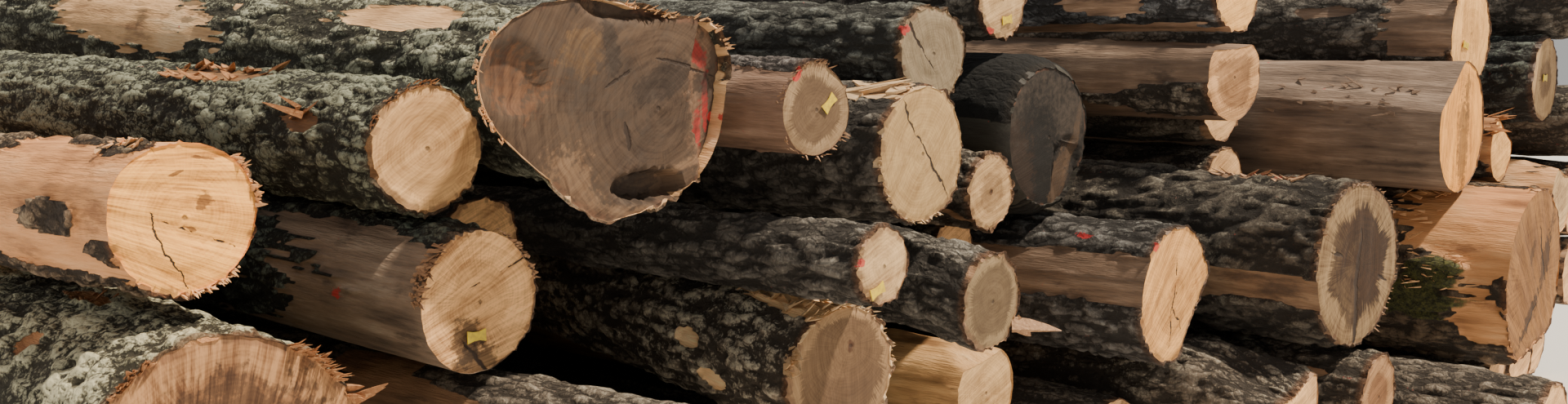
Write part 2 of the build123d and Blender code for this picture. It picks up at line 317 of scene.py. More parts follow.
looks = {
    "log_lichen_front_left": {
        "grid": (184, 0.007, 1.017, 20), "bark": "lichen", "barkDepth": 0.016, "plates": 1.3,
        # The side tint lightens the bark as painted light, standing in for sun that another log's shadow
        # keeps off it.
        "granules": 0.03, "lichen": 0.78, "bare": 0.02, "wood": "orange", "sideTint": (1.25, 1.25, 1.18),
        "bald": ((95, 0.52, 6, 0.09), (128, 0.42, 7, 0.05), (67, 1.2, 2.5, 0.3)), "face": "brown",
        "faceTint": (0.9, 0.83, 0.76), "heart": 0.72, "heartDark": 0.75, "radial": 0.6,
        "fan": (-0.1, -0.48), "sawMarks": 1.7,
        "blots": ((-0.175, 0.215, 0.018, 0.01, 40, "paint"), (-0.13, 0.235, 0.07, 0.015, 30, "red"),
            (0.02, 0.06, 0.17, 0.11, 0, "muddy")),
        "splinters": ((48, 0, 14, 0.01, 90, 0.035, 0.005, 0.4), (27, 0, 4, 0.01, 6, 0.07, 0.014, 0.6),
            (128, 0, 12, 0.01, 40, 0.03, 0.007, 0.5), (95, 0.52, 7, 0.09, 24, 0.03, 0.008, 0.5)),
    },
    "log_peeled_left": {
        "grid": (136, 0.007, 1.021, 18), "lichen": 0.5, "bare": 1.0, "wood": "peeled",
        "sideTint": (1.0, 0.83, 0.69),
        "barked": ((113, 0.09, 13, 0.09), (102, 0.24, 8, 0.09), (178, 0.2, 14, 0.12),
            (-158, 0.03, 14, 0.06), (105, 0.75, 25, 0.25), (5, 0.02, 30, 0.05),
            (-100, 0.3, 40, 0.6), (20, 0.6, 40, 0.5)),
        "face": "yellow", "faceTint": (1.12, 0.97, 0.66), "heart": 0.5, "heartDark": 0.25, "radial": 0.25,
        "fan": (-0.387, 0.107), "sawMarks": 1.5,
        "cracks": ((-0.055, 0.015, 0, -0.12, 0.0022), (-0.04, 0, 0.09, -0.06, 0.0022)),
        "blots": ((0.034, 0.024, 0.011, 0.015, -30, "knot"), (0.01, -0.02, 0.012, 0.004, -25, "knot"),
            (0.04, 0.097, 0.022, 0.003, -10, "knot"), (-0.01, 0.075, 0.012, 0.003, 20, "knot")),
        "splinters": ((25, 0, 22, 0.01, 40, 0.02, 0.006, 0.5),
            (-70, 0, 25, 0.01, 50, 0.015, 0.005, 0.5), (112, 0.1, 14, 0.08, 22, 0.03, 0.012, 0.4)),
    },
    "log_mossy_left": {
        "grid": (152, 0.007, 1.017, 16), "bark": "lichen", "barkDepth": 0.015, "plates": 1.2,
        "granules": 0.03, "lichen": 0.8, "bare": 0.03, "wood": "orange", "sideTint": (0.58, 0.64, 0.64),
        "bald": ((106, 0.66, 15, 0.24), (158, 0.24, 11, 0.06)), "faceTint": (0.88, 0.88, 0.84),
        "heart": 0.84, "radial": 0.15, "fan": (-0.7, -0.45), "sawMarks": 0.8,
        "blots": ((-0.125, 0.15, 0.09, 0.025, 40, "red"),),
        "splinters": ((118, 0.66, 4, 0.22, 24, 0.05, 0.014, 0.4),
            (92, 0.66, 3, 0.2, 20, 0.05, 0.014, 0.4), (150, 0.24, 6, 0.04, 5, 0.08, 0.01, 0.5),
            (120, 0, 40, 0.01, 60, 0.016, 0.004, 0.5)),
    },
    "log_tagged_left": {
        "grid": (136, 0.007, 1.021, 16), "bark": "green", "lichen": 0.5, "bare": 0.85,
        # The plain brown wood and this side tint darken the bared side as painted shade.
        "sideTint": (0.72, 0.89, 1.13),
        "barked": ((98, 0.35, 26, 0.6), (165, 0.85, 70, 0.48), (-15, 0.2, 40, 0.5)),
        "paint": ((181, 0.27, 6, 0.03), (-140, 0.2, 4, 0.12)), "faceTint": (1.1, 1.05, 0.98),
        "heart": 0.55, "radial": 0.5, "fan": (-0.5, -0.2), "sawMarks": 1.3,
        "cracks": ((-0.02, 0.03, 0.12, 0.075, 0.003), (-0.06, -0.06, 0.02, -0.14, 0.006)),
        "blots": ((-0.01, -0.12, 0.06, 0.035, 20, "dark"), (-0.03, -0.075, 0.03, 0.04, 0, "dark")),
        "splinters": ((150, 0.01, 26, 0.02, 80, 0.045, 0.006, 0.3),
            (40, 0, 30, 0.01, 40, 0.014, 0.008, 0.4)),
    },
    "log_shaded_left": {"heartDark": 0.4},
    "log_root_flare": {
        "grid": (160, 0.007, 1.017, 24), "bark": "lichen", "barkDepth": 0.015, "plates": 1.3,
        "lichen": 0.55, "bare": 0.02, "wood": "peeled", "sideTint": (1.0, 1.08, 1.12),
        "bald": ((150, 2.2, 34, 0.6), (122, 0.8, 18, 0.26), (172, 0.05, 16, 0.1), (-20, 0, 35, 0.12)),
        "paint": ((-8, 0, 8, 0.03), (25, 0, 5, 0.02)), "face": "weathered",
        "faceTint": (0.73, 0.73, 0.75), "heart": 0.5, "heartDark": 0.4, "arcs": 1.6, "fan": (-0.7, -0.5),
        "sawMarks": 0.7, "soil": 0.9,
        "cracks": ((-0.082, -0.022, -0.07, -0.078, 0.009), (-0.136, 0.04, -0.016, 0.1, 0.005),
            (-0.016, 0.1, 0.178, 0.058, 0.005)),
        # The dark blots over the top and bottom hollows are painted shade in them.
        "blots": ((-0.05, 0.2, 0.13, 0.04, 0, "dark"), (-0.115, 0.135, 0.022, 0.07, 8, "dark"),
            (-0.18, 0.112, 0.05, 0.04, 20, "olive"), (-0.33, 0.06, 0.07, 0.06, 12, "orange"),
            (-0.2, -0.15, 0.05, 0.09, 14, "light"), (-0.1, -0.2, 0.16, 0.02, -6, "light"),
            (0.05, -0.125, 0.08, 0.015, 25, "light"), (0.145, 0.02, 0.055, 0.19, -8, "strip"),
            (0.175, 0.05, 0.022, 0.17, -10, "bark"), (0.135, 0.1, 0.018, 0.03, 30, "paint"),
            (0.125, -0.05, 0.014, 0.045, -10, "paint"), (0.15, 0, 0.008, 0.05, 0, "paint"),
            (0, 0.05, 0.09, 0.03, 25, "bark"), (0.14, 0.045, 0.02, 0.02, 0, "dark"),
            (-0.02, -0.15, 0.085, 0.028, 14, "dark")),
        "hollows": ((-0.02, -0.15, 0.095, 0.036, 0.05), (-0.05, 0.21, 0.13, 0.045, 0.025),
            (0.155, 0.02, 0.068, 0.22, 0.03), (-0.33, 0.07, 0.07, 0.07, 0.02)),
        "splinters": ((172, 0, 16, 0.01, 50, 0.026, 0.005, 0.4),
            (70, 0, 40, 0.01, 60, 0.018, 0.004, 0.5)),
    },
    "log_under_tagged": {"grid": (96, 0.011, 1.038, 10), "bare": 0.3},
    "log_skewed_centre": {
        "grid": (152, 0.007, 1.02, 16), "barkDepth": 0.015, "scales": 36, "lichen": 0.6, "bare": 0.03,
        "wood": "cream", "sideTint": (1.6, 1.6, 1.55),
        "bald": ((96, 0.1, 24, 0.16), (172, 0.38, 9, 0.045), (-158, 0.29, 10, 0.05)), "face": "pale",
        "faceTint": (0.64, 0.59, 0.56), "heart": 0.8, "heartDark": 0.85, "radial": 0.15,
        "pith": (0.026, 0.06), "fan": (0.1, -0.9), "sawMarks": 0.45,
        "blots": ((0.026, 0.06, 0.01, 0.013, 0, "knot"),),
        "splinters": ((100, 0.14, 24, 0.16, 60, 0.06, 0.012, 0.5),
            (160, 0, 12, 0.02, 24, 0.07, 0.01, 0.45), (60, 0, 60, 0.01, 48, 0.016, 0.004, 0.5)),
    },
    "log_tagged_centre": {
        "grid": (88, 0.008, 1.038, 12), "bare": 0.9, "sideTint": (0.67, 0.7, 0.86),
        "barked": ((95, 0.3, 33, 0.7), (0, 0.5, 50, 0.8)), "paint": ((128, 0, 14, 0.014),),
        "face": "pale", "faceTint": (0.63, 0.62, 0.64), "heart": 0.74, "heartDark": 0.85, "radial": 0.5,
        "fan": (-0.6, -0.5), "sawMarks": 0.5,
        "splinters": ((110, 0, 60, 0.01, 48, 0.016, 0.004, 0.5),
            (-90, 0, 60, 0.01, 28, 0.016, 0.004, 0.5)),
    },
    "log_split_tall": {
        "grid": (120, 0.008, 1.038, 14), "bark": "dark", "lichen": 0.1, "bare": 0.03, "wood": "cream",
        "bald": ((112, 0.08, 12, 0.12),), "face": "cream", "faceTint": (0.8, 0.8, 0.72), "heart": 0.75,
        "heartDark": 0.12, "fan": (-0.5, -0.6), "sawMarks": 0.5,
        "cracks": ((-0.082, 0.124, 0, 0.024, 0.0045), (0, 0.024, 0.096, -0.112, 0.0045)),
        "splinters": ((112, 0.12, 18, 0.1, 26, 0.16, 0.022, 0.12),
            (-120, 0, 60, 0.01, 40, 0.016, 0.004, 0.5)),
    },
    "log_split_upper": {
        "grid": (104, 0.008, 1.038, 12), "bark": "dark", "lichen": 0.25, "bare": 0.02,
        "sideTint": (0.88, 1.02, 1.06),
        "paint": ((150, 0, 9, 0.012),), "face": "pale", "faceTint": (0.56, 0.64, 0.76), "heart": 0.8,
        "heartDark": 0.15, "fan": (0.3, -0.9), "sawMarks": 0.5,
        "cracks": ((-0.116, 0.112, -0.032, 0.002, 0.006), (-0.032, 0.002, 0.02, -0.05, 0.003)),
    },
    "log_tagged_top": {
        "bark": "dark",
        "paint": ((-120, 0, 18, 0.014),), "face": "cream", "heartDark": 0.2,
    },
    "log_small_centre": {
        "bare": 0.3, "face": "cream", "faceTint": (0.85, 0.82, 0.78), "heart": 0.5, "heartDark": 0.7,
        "blots": ((0, 0, 0.008, 0.008, 0, "knot"),),
    },
    "log_half_shaded": {
        "bark": "dark",
        "paint": ((165, 0, 10, 0.014),), "face": "cream", "heartDark": 0.15,
    },
    "log_pale_oval": {
        "grid": (88, 0.011, 1.038, 10), "bark": "dark", "bare": 0.05, "face": "pale",
        "faceTint": (0.53, 0.55, 0.55), "heart": 0.76, "heartDark": 0.75, "sawMarks": 0.4,
        "splinters": ((-38, 0, 6, 0.01, 3, 0.17, 0.026, 1.1),),
    },
    "log_bevelled_low": {
        "grid": (96, 0.008, 1.038, 10), "bare": 0.9, "wood": "peeled", "sideTint": (0.84, 0.86, 0.75),
        "face": "cream", "faceTint": (0.95, 0.9, 0.82), "heartDark": 0.2,
    },
    "log_domed_dark": {
        # Near black: mud, darkened further by its colours and both tints as painted shade.
        "grid": (136, 0.008, 1.038, 13), "bark": "mud_and_shade", "barkDepth": 0.006, "rough": 0.005, "lichen": 0,
        "bare": 0.5, "sideTint": (0.07, 0.105, 0.135),
        "bald": ((-155, 0.25, 40, 0.6),), "face": "mud_and_shade", "faceTint": (0.36, 0.35, 0.35), "heartDark": 0.4,
        "sawMarks": 0.5, "soil": 1.0,
        "blots": ((-0.14, -0.1, 0.09, 0.14, 10, "muddy"), (0.06, -0.11, 0.035, 0.1, -25, "light"),
            (0.12, -0.03, 0.014, 0.1, -15, "light")),
        "hollows": ((0.09, -0.1, 0.08, 0.12, 0.012),),
    },
    "log_bevelled_right": {
        "grid": (136, 0.007, 1.025, 16), "scales": 30, "bare": 0.1, "sideTint": (0.58, 0.66, 0.8),
        "bald": ((163, 0.3, 24, 0.75),), "barked": ((122, 0.3, 12, 0.6),),
        "paint": ((127, 0.2, 4, 0.07), (132, 0, 12, 0.02)), "faceTint": (1.0, 0.88, 0.63), "heart": 0.6,
        "heartDark": 0.3, "radial": 0.4, "fan": (-0.4, -0.35), "sawMarks": 1.2,
        "cracks": ((0, 0.09, -0.03, -0.14, 0.003), (-0.02, -0.02, 0.03, -0.1, 0.002)),
    },
    "log_wedge_cut": {"grid": (104, 0.008, 1.038, 10), "bare": 0.35, "sawMarks": 1.2},
    "log_small_low_right": {"bare": 0.3, "face": "brown", "heart": 0.6, "heartDark": 0.8},
    "log_star_heart": {
        "grid": (160, 0.007, 1.025, 18), "barkDepth": 0.017, "plates": 1.2, "scales": 24, "lichen": 0.45,
        "bare": 0.02, "sideTint": (0.47, 0.48, 0.49),
        "bald": ((93, 0.29, 13, 0.13), (-165, 0.22, 12, 0.5)), "paint": ((90, 0.28, 5, 0.1),),
        # The face tint darkens this end as painted shade.
        "face": "star", "faceTint": (0.6, 0.57, 0.53), "heart": 0.7, "heartDark": 1.1, "mottled": 1.5,
        "starred": 0.06, "radial": 1.0, "arcs": 1.6, "fan": (0.05, 0.9), "sawMarks": 0.9,
        "cracks": ((0, 0.1, -0.008, -0.24, 0.013), (-0.15, 0.05, -0.08, 0.03, 0.006),
            (0.08, -0.03, 0.16, -0.06, 0.005)),
        "splinters": ((93, 0.29, 14, 0.14, 30, 0.04, 0.012, 0.4),
            (60, 0, 120, 0.01, 72, 0.016, 0.004, 0.5)),
    },
    "log_flat_topped": {
        "grid": (96, 0.008, 1.038, 10), "bare": 0.9, "wood": "aged",
        "barked": ((-150, 0.1, 25, 0.3),), "face": "pale", "faceTint": (1.28, 1.04, 0.88), "heart": 0.7,
        "heartDark": 0.65,
    },
    "log_red_marked_top": {
        "grid": (104, 0.008, 1.038, 10), "bark": "dark", "bare": 0.05, "sideTint": (1.55, 1.75, 2.1),
        "bald": ((-158, 0.36, 22, 0.13), (-95, 0.3, 30, 0.6)), "paint": ((-178, 0.38, 8, 0.04),),
        "face": "yellow", "heartDark": 0.2,
    },
    "log_brown_long": {
        "grid": (136, 0.008, 1.025, 14), "bare": 1.0, "wood": "aged", "sideTint": (0.96, 1.02, 1.1),
        "face": "yellow", "faceTint": (0.92, 0.76, 0.49), "heart": 0.35, "heartDark": 0.6, "radial": 0.1,
        "fan": (0, 1.2),
        "blots": ((0.01, -0.05, 0.045, 0.15, 0, "olive"), (0.03, 0.1, 0.02, 0.07, 0, "olive")),
        "splinters": ((150, 0.3, 20, 0.2, 24, 0.05, 0.008, 0.3),),
    },
    "log_brown_upper": {
        "grid": (104, 0.008, 1.038, 10), "bark": "dark", "bare": 0.25, "wood": "aged",
        "bald": ((165, 0.1, 40, 0.12),), "face": "yellow", "heartDark": 0.9, "fan": (0, 1.2),
    },
    "log_green_top_right": {
        "grid": (96, 0.011, 1.038, 10), "bark": "green", "lichen": 0.6, "bare": 0.03,
        "sideTint": (0.62, 0.74, 1.05), "face": "pale", "faceTint": (0.85, 0.82, 0.78), "heartDark": 0.8,
        "fan": (0.1, 1.0),
    },
    "log_top_right": {
        "grid": (88, 0.011, 1.038, 10), "bark": "dark", "face": "pale", "heart": 0.55, "mottled": 2.0,
        "fan": (0, 1.5),
        "blots": ((0, -0.02, 0.04, 0.13, 0, "olive"),),
    },
    "log_mossy_right": {
        "grid": (160, 0.008, 1.025, 18), "barkDepth": 0.015, "plates": 1.2, "scales": 28, "lichen": 0.2,
        "bare": 0.05, "wood": "peeled", "sideTint": (0.8, 0.68, 0.56),
        "bald": ((130, 0.12, 48, 0.22), (-152, 0.07, 16, 0.08)),
        "moss": ((172, 0.21, 12, 0.09), (-168, 0.34, 16, 0.16)), "faceTint": (0.37, 0.29, 0.195),
        "heart": 0.7, "mottled": 2.0, "radial": 0.8, "fan": (0.5, -0.6), "sawMarks": 1.3,
        "cracks": ((0.02, 0.16, 0.12, -0.02, 0.006), (0.12, -0.02, -0.1, -0.2, 0.006)),
        "blots": ((0.1, 0.03, 0.035, 0.17, -25, "muddy"), (-0.02, -0.12, 0.13, 0.022, 40, "muddy"),
            (-0.03, 0.08, 0.05, 0.02, 60, "olive")),
        "splinters": ((172, 0.21, 12, 0.09, 60, 0.06, 0.004, 0.9),
            (140, 0.3, 40, 0.1, 40, 0.05, 0.008, 0.4)),
    },
    "log_low_right": {},
    "log_split_behind": {
        "bare": 0.6, "wood": "orange", "face": "yellow",
        "splinters": ((130, 0.1, 30, 0.2, 40, 0.08, 0.01, 0.3),),
    },
    "log_facet_right": {"bare": 0.8, "wood": "peeled", "face": "cream"},
}
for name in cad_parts:
    if name.startswith(("base_", "inner_")):
        looks[name] = hiddenLook

# Shared by all logs, in metres along the log unless said otherwise
relief = {
    "firstRing": 0.0025,
    "lastRing": 0.003,  # before the back
    "backRoom": 0.6,  # free before the last ring, as a share of the widest spacing
    "capRim": 0.985,  # share of the radius at the outermost ring of a cap
    "plateWidth": 0.045,  # round the log
    "plateLength": 0.12,
    "crossCracks": 0.045,
    "crossDepth": 0.8,  # share of the furrows' depth
    "weave": 0.8,  # how far the furrows wander, in plates
    "furrow": 0.34,  # width of the furrows, 1 is all of the bark
    "ragged": 0.12,  # waves in the edge of the bark
    "frayed": 0.2,  # finer waves in it
    "raggedness": 1.6,
    "barePlaces": 0.4,
    "edgeWidth": 0.06,  # softness of the step from bark to wood
    "chips": 0.05,  # bark lost at the cut
    "fibres": 0.7,
    "torn": 0.1,
    "fibreDepth": 0.003,
    "woodDepth": 0.95,  # of bare wood, as a share of the bark's
    "mossHeight": 0.016,
    "mossBed": 0.002,
    "sawRidges": 90,  # radians of the saw's wave per metre
    "sawDepth": 0.0010,
    "waves": 0.004,  # unevenness of a cut
    "cutInset": 0.0015,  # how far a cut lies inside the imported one
    "backInset": 0.002,
    "distances": 10,  # a cut's metres to its edge are stored times this
}


# Highest of all patches: 1.5 in the middle of one, less the distance from it in half sizes
def patchField(patches, turn, along):
    total = np.zeros(turn.shape)
    for clock, place, width, length in patches:
        apart = np.degrees(np.angle(np.exp(1j * (turn - math.radians(clock))))) / width
        total = np.maximum(total, 1.5 - np.hypot(apart, (along - place) / length))
    return total


# Mesh with point fields, from whole arrays
def fillMesh(name, points, quads, triangles, material, fields):
    mesh = bpy.data.meshes.new(name)
    corners = np.concatenate([quads.ravel(), triangles.ravel()])
    starts = np.concatenate([np.arange(len(quads)) * 4, len(quads) * 4 + np.arange(len(triangles)) * 3])
    mesh.vertices.add(len(points))
    mesh.vertices.foreach_set("co", points.ravel())
    mesh.loops.add(len(corners))
    mesh.loops.foreach_set("vertex_index", corners.astype(np.int32))
    mesh.polygons.add(len(starts))
    mesh.polygons.foreach_set("loop_start", starts.astype(np.int32))
    mesh.update(calc_edges=True)
    mesh.polygons.foreach_set("material_index", material.astype(np.int32))
    mesh.polygons.foreach_set("use_smooth", np.ones(len(starts), bool))
    kinds = ("grain", "FLOAT_VECTOR", "vector"), ("look", "FLOAT_COLOR", "color"), ("moss", "FLOAT", "value")
    for key, kind, target in kinds:
        mesh.attributes.new(key, kind, "POINT").data.foreach_set(target, fields[key].ravel())
    mesh.set_sharp_from_angle(angle=math.radians(58))
    mesh.validate()
    return mesh


# Place of each ring behind the cut and its share of the full radius. The spacing grows by one factor from
# ring to ring, and a cap is rings at one place whose share falls evenly to the middle.
def ringPlaces(values, length):
    _, step, growth, capRings = values["grid"]
    steps = np.minimum(step * growth ** np.arange(900), values["widest"])
    places = np.concatenate([[0, relief["firstRing"]], relief["firstRing"] + np.cumsum(steps)])
    places = places[places < length - values["widest"] * relief["backRoom"]]
    places = np.concatenate([places, [length - relief["lastRing"], length]])
    inner = np.append(np.linspace(0, 1, capRings + 1)[1:-1], relief["capRim"])
    share = np.concatenate([inner, np.ones(len(places)), inner[::-1]])
    along = np.concatenate([np.zeros(len(inner)), places, np.full(len(inner), length)])
    return share, along, len(inner)


# Bark is 1 and bare wood 0, ridge is 1 on the plates and 0 in the furrows, and drop is how far the surface
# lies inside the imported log: the bark's depth less the ridges, or the bare wood's depth and its fibres.
def barkRelief(values, seed, turn, along, size):
    perTurn = max(6, int(2 * math.pi * size / (relief["plateWidth"] * values["plates"])))
    depth = values["barkDepth"]
    ragged = clouds(seed + 1, turn, along, perTurn, relief["ragged"], 4) - 0.5
    ragged = ragged + 0.7 * (clouds(seed + 37, turn, along, perTurn * 4, relief["frayed"], 2) - 0.5)
    edge = ragged * relief["raggedness"]
    bald, kept = [patchField(values[key], turn, along) * 2 - 1 + edge for key in ("bald", "barked")]
    lost = values["bare"] - clouds(seed + 6, turn, along, max(3, perTurn // 3), relief["barePlaces"], 4)
    lost = np.where(values["bare"] >= 1, 1.0, lost * 3)
    lost = np.maximum(lost, bald) - 4 * np.clip(kept, 0, 1)
    chip = (0.5 - cloud(seed + 11, turn, along * 0, perTurn * 3, 1.0)) * relief["chips"]
    lost = np.maximum(lost, (np.clip(chip, 0, 1) - along) * 60)  # 60 makes the chips' border sharp
    bark = 1 - smooth(lost, -relief["edgeWidth"], relief["edgeWidth"])

    # Furrows between plates that run with the grain, and small lumps on the plates
    wander = (clouds(seed + 12, turn, along, perTurn, 0.09, 2) - 0.5) * relief["weave"] / perTurn
    cells = relief["plateLength"] * values["plates"], relief["crossCracks"] * values["plates"]
    crease, across = [np.abs(2 * clouds(seed + start, turn + wander, along, perTurn, cell, 3) - 1)
                      for start, cell in zip((15, 19), cells)]
    ridge = smooth(np.minimum(crease, 0.06 + across * relief["crossDepth"]), 0.0, relief["furrow"])
    knobs = clouds(seed + 23, turn, along, perTurn * 3, values["granules"], 2)
    ridge = np.clip(0.70 * ridge + 0.9 * (knobs - 0.5) + 0.12, 0, 1)
    fibres = clouds(seed + 26, turn, along, perTurn * 3, relief["fibres"], 3)
    torn = clouds(seed + 30, turn, along, perTurn * 2, relief["torn"], 3)
    bareDrop = depth * relief["woodDepth"] + relief["fibreDepth"] * (1 - fibres + torn)
    drop = bark * depth * (1 - ridge) + (1 - bark) * bareDrop
    paint = np.clip(patchField(values["paint"], turn, along) * 1.3 + edge - 0.9, 0, 1)
    moss = np.clip(patchField(values["moss"], turn, along) * 1.6 + ragged * 1.5 - 0.4, 0, 1)
    drop = drop * (1 - moss) - (relief["mossBed"] + relief["mossHeight"] * knobs) * moss
    return bark, ridge, paint, moss, drop, ragged, torn


# Depth of the front cut: a sine of the angle round the place where the saw marks meet, slow waves, a torn
# rim, and hollows that are ragged ovals
def cutRelief(values, seed, turn, share, across, up, ragged, torn):
    fanX, fanZ = values["fan"]
    way = np.arctan2(up - fanZ, across - fanX) * math.hypot(fanX, fanZ)
    wave = way * relief["sawRidges"] + 2 * cloud(seed + 33, turn, share * 0.5, 6, 0.1)
    sawn = relief["sawDepth"] * values["sawMarks"] * np.sin(wave)
    slow = cloud(seed + 34, turn, share * 0.5, 5, 0.12) + (share > 0.98) * torn
    sawn = sawn + relief["waves"] * slow + relief["cutInset"]
    for x, z, width, height, deep in values["hollows"]:
        apart = np.hypot((across - x) / width, (up - z) / height) + 0.4 * ragged
        sawn = sawn + deep * (1 - smooth(apart, 0.72, 1.0))
    return sawn


# Quads between the rings and triangles round the two middle points, which come last
def ringFaces(rings, count, capRings):
    index = np.arange(rings * count).reshape(rings, count)
    after = np.roll(index, -1, 1)
    quads = np.stack([index[:-1], index[1:], after[1:], after[:-1]], -1).reshape(-1, 4)
    front = np.stack([np.full(count, rings * count), index[0], after[0]], -1)
    back = np.stack([np.full(count, rings * count + 1), after[-1], index[-1]], -1)
    rows = np.arange(rings - 1)
    isCap = (rows < capRings) | (rows >= rings - 1 - capRings)
    material = np.concatenate([np.repeat(isCap, count), np.ones(2 * count, bool)])
    return quads, np.concatenate([front, back]), material


# One log: rings from the middle of the front cut over the side to the middle of the back cut. A point is
# the middle line's, plus the radius less the drop, times the ring's share, in the direction of its turn.
def makeLog(name, values, number):
    stem = Stem(name)
    seed = number * 40  # each log's own seeds
    count = values["grid"][0]
    share, along, capRings = ringPlaces(values, stem.length)
    rings = len(share)
    turn, along = np.meshgrid(np.arange(count) * 2 * math.pi / count, along)
    share = np.repeat(share[:, None], count, 1)
    outer = stem.radius(turn, along)
    size = outer.mean()
    bark, ridge, paint, moss, drop, ragged, torn = barkRelief(values, seed, turn, along, size)
    full = outer - drop
    across, up = full * share * np.cos(turn), full * share * np.sin(turn)
    sawn = cutRelief(values, seed, turn, share, across, up, ragged, torn)
    depth = np.where(along <= 0, sawn, 0) - relief["backInset"] * (along >= stem.length)
    x = stem.front[0] + stem.slope[0] * along + across
    y = stem.front[1] + along + across * stem.lean(along) + depth
    z = stem.front[2] + stem.slope[2] * along + up
    middles = [stem.front + [0, 0.002, 0], stem.front + stem.slope * stem.length]
    points = np.concatenate([np.stack([x, y, z], -1).reshape(-1, 3), middles])
    grain = np.stack([across, along, up], -1).reshape(-1, 3)
    grain = np.concatenate([grain, [[0, 0, 0], [0, stem.length, 0]]])
    edge = full * (1 - share) * relief["distances"]
    look = np.stack([bark, paint, ridge, edge], -1).reshape(-1, 4)
    look = np.concatenate([look, [[1, 0, 1, size * relief["distances"]]] * 2])
    fields = {"grain": grain, "look": look, "moss": np.append(moss.ravel(), [0, 0])}
    mesh = fillMesh(name + "_wood", points, *ringFaces(rings, count, capRings), fields)
    return linkObject(name + "_wood", mesh), stem


splinterShape = {
    "seed": 9000,
    "rings": ((0.0, 1.0), (0.4, 0.8), (0.75, 0.45), (1.0, 0.06)),  # shares of the length and the width
    "corners": ((1, 1), (-1, 1), (-1, -1), (1, -1)),
    "flat": 0.3,  # thickness as a share of the width
    "root": 0.006,  # metres behind the log's own place
}


# Splinters and torn fibres. Each is a flat blade of four rings with four corners, its width falling to
# nothing at the tip and its middle line bending outwards with the square of the way along it.
def makeSplinters(name, stem, values, number):
    rng = np.random.default_rng(splinterShape["seed"] + number)
    blades = []
    for clock, place, spread, run, count, length, width, outwards in values["splinters"]:
        pick = rng.random((8, count, 1))
        turn = np.radians(clock + (pick[0] * 2 - 1) * spread)
        along = np.clip(place + (pick[1] * 2 - 1) * run, 0.0, None)
        ahead = np.where((along < 0.05) | (pick[2] < 0.6), -1.0, 1.0)  # most point to the front
        ahead = ahead * (0.1 if outwards > 1 else 1.0)
        out = np.concatenate([np.cos(turn), 0 * turn, np.sin(turn)], -1)
        around = np.concatenate([-np.sin(turn), 0 * turn, np.cos(turn)], -1)
        radius = stem.radius(turn, along) - values["barkDepth"] * (0.5 + 0.7 * pick[3])
        start = stem.front + stem.slope * (along + splinterShape["root"]) + out * radius
        start[:, 1:2] += radius * out[:, :1] * stem.lean(along)
        way = stem.slope * ahead + out * outwards * pick[4] * 1.5 + around * (pick[5] - 0.5) * 0.7
        way = way / np.linalg.norm(way, axis=1, keepdims=True)
        side = np.cross(out, way)
        side = side / np.linalg.norm(side, axis=1, keepdims=True)
        flat = np.cross(way, side) * splinterShape["flat"]
        reach = length * (0.35 + 0.9 * pick[6] ** 2)
        if outwards < 0.2:  # pieces that lie along the log stop at its end
            reach = np.minimum(reach, np.maximum(along, 0.02))
        half = width * (0.3 + 0.5 * pick[7])
        bend = out * reach * outwards * (pick[3] - 0.2) * 0.6
        rings = [[start + way * reach * share + bend * share ** 2 + (side * i + flat * j) * half * wide
                  for i, j in splinterShape["corners"]] for share, wide in splinterShape["rings"]]
        blades.append(np.array(rings).transpose(2, 0, 1, 3))
    points = np.concatenate(blades).reshape(-1, 3)
    first = np.arange(len(points) // 16)[:, None] * 16
    quads = [first + [4 * ring + j, 4 * ring + (j + 1) % 4, 4 * ring + 4 + (j + 1) % 4, 4 * ring + 4 + j]
             for ring in range(3) for j in range(4)]
    quads = np.concatenate([*quads, first + [3, 2, 1, 0], first + [12, 13, 14, 15]])
    mesh = bpy.data.meshes.new(name + "_splinters")
    mesh.from_pydata(points.tolist(), [], quads.tolist())
    mesh.update()
    return linkObject(name + "_splinters", mesh)


# Dark, middle and light tone of the bark, and the growth on it
barkColours = {
    "grey": ((0.042, 0.033, 0.025), (0.2, 0.164, 0.126), (0.38, 0.32, 0.25), (0.6, 0.555, 0.43)),
    "lichen": ((0.038, 0.033, 0.021), (0.17, 0.155, 0.102), (0.38, 0.355, 0.245), (0.74, 0.72, 0.52)),
    "green": ((0.02, 0.017, 0.011), (0.085, 0.078, 0.054), (0.2, 0.19, 0.125), (0.38, 0.385, 0.23)),
    "dark": ((0.04, 0.035, 0.03), (0.155, 0.14, 0.12), (0.31, 0.285, 0.245), (0.47, 0.445, 0.38)),
    # mud_and_shade: the mud's tone, darkened as painted shade
    "mud_and_shade": ((0.012, 0.01, 0.008), (0.022, 0.018, 0.014), (0.036, 0.03, 0.024), (0.045, 0.039, 0.032)),
}
# Dark, middle and light tone of the wood under the bark
woodColours = {
    "peeled": ((0.27, 0.125, 0.05), (0.78, 0.44, 0.21), (0.95, 0.64, 0.38)),
    "orange": ((0.14, 0.055, 0.022), (0.4, 0.185, 0.078), (0.78, 0.46, 0.22)),
    "brown": ((0.08, 0.044, 0.025), (0.36, 0.205, 0.112), (0.68, 0.44, 0.26)),
    "aged": ((0.06, 0.038, 0.027), (0.215, 0.14, 0.094), (0.44, 0.31, 0.215)),
    "cream": ((0.34, 0.2, 0.09), (0.66, 0.46, 0.26), (0.84, 0.66, 0.44)),
}
